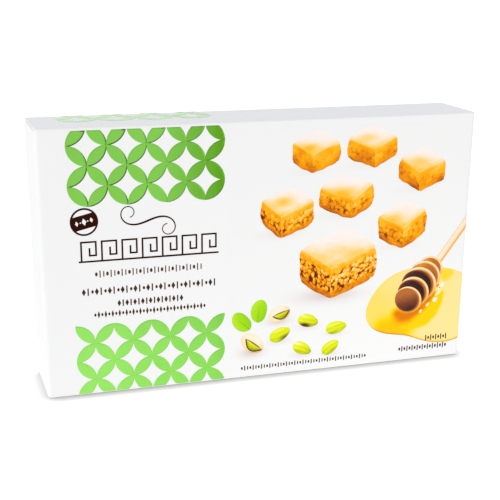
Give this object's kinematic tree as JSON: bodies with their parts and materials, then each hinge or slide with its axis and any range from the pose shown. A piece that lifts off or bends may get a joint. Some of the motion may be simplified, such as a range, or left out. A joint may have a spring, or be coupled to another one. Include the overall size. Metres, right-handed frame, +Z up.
{
  "type": "carton of baklava",
  "caption": "Shut rectangular paperboard carton standing on its long narrow side, white, with raised green foil lattices and simple printed shapes of pastry, nuts and honey.",
  "frame": {"origin": "centre of the bottom panel, on the surface that the carton stands on", "axes": "+X along the carton's length, to the right seen from the front; +Y from the front panel to the back panel; +Z up"},
  "size_m": [0.26, 0.0446, 0.1532],
  "materials": {
    "board": "coated white board, satin varnish",
    "foil": "green hot-stamped foil, raised, satin gloss",
    "ink_brown": "dark brown print, varnished",
    "ink_pastry": "golden print, varnished",
    "ink_kernel": "nut green print, varnished",
    "ink_shell": "pale nut shell print, varnished",
    "ink_leaf": "leaf green print, varnished",
    "ink_honey": "honey yellow print, varnished",
    "ink_wood": "wood brown print, varnished"
  },
  "bodies": {
    "root": {"carton": "board", "foil_upper": "foil", "foil_lower": "foil", "foil_top": "foil", "foil_back": "foil", "print_seal": "ink_brown", "print_key_frieze": "ink_brown", "print_pastry_1": "ink_pastry", "print_pastry_2": "ink_pastry", "print_pastry_3": "ink_pastry", "print_pastry_4": "ink_pastry", "print_pastry_5": "ink_pastry", "print_pastry_6": "ink_pastry", "print_pastry_7": "ink_pastry", "print_kernel_1": "ink_kernel", "print_kernel_2": "ink_kernel", "print_kernel_3": "ink_kernel", "print_kernel_4": "ink_kernel", "print_kernel_5": "ink_kernel", "print_open_nut_1": "ink_shell", "print_open_nut_2": "ink_shell", "print_leaf_1": "ink_leaf", "print_leaf_2": "ink_leaf", "print_honey_pool": "ink_honey", "print_dipper": "ink_wood"}
  },
  "joints": []
}
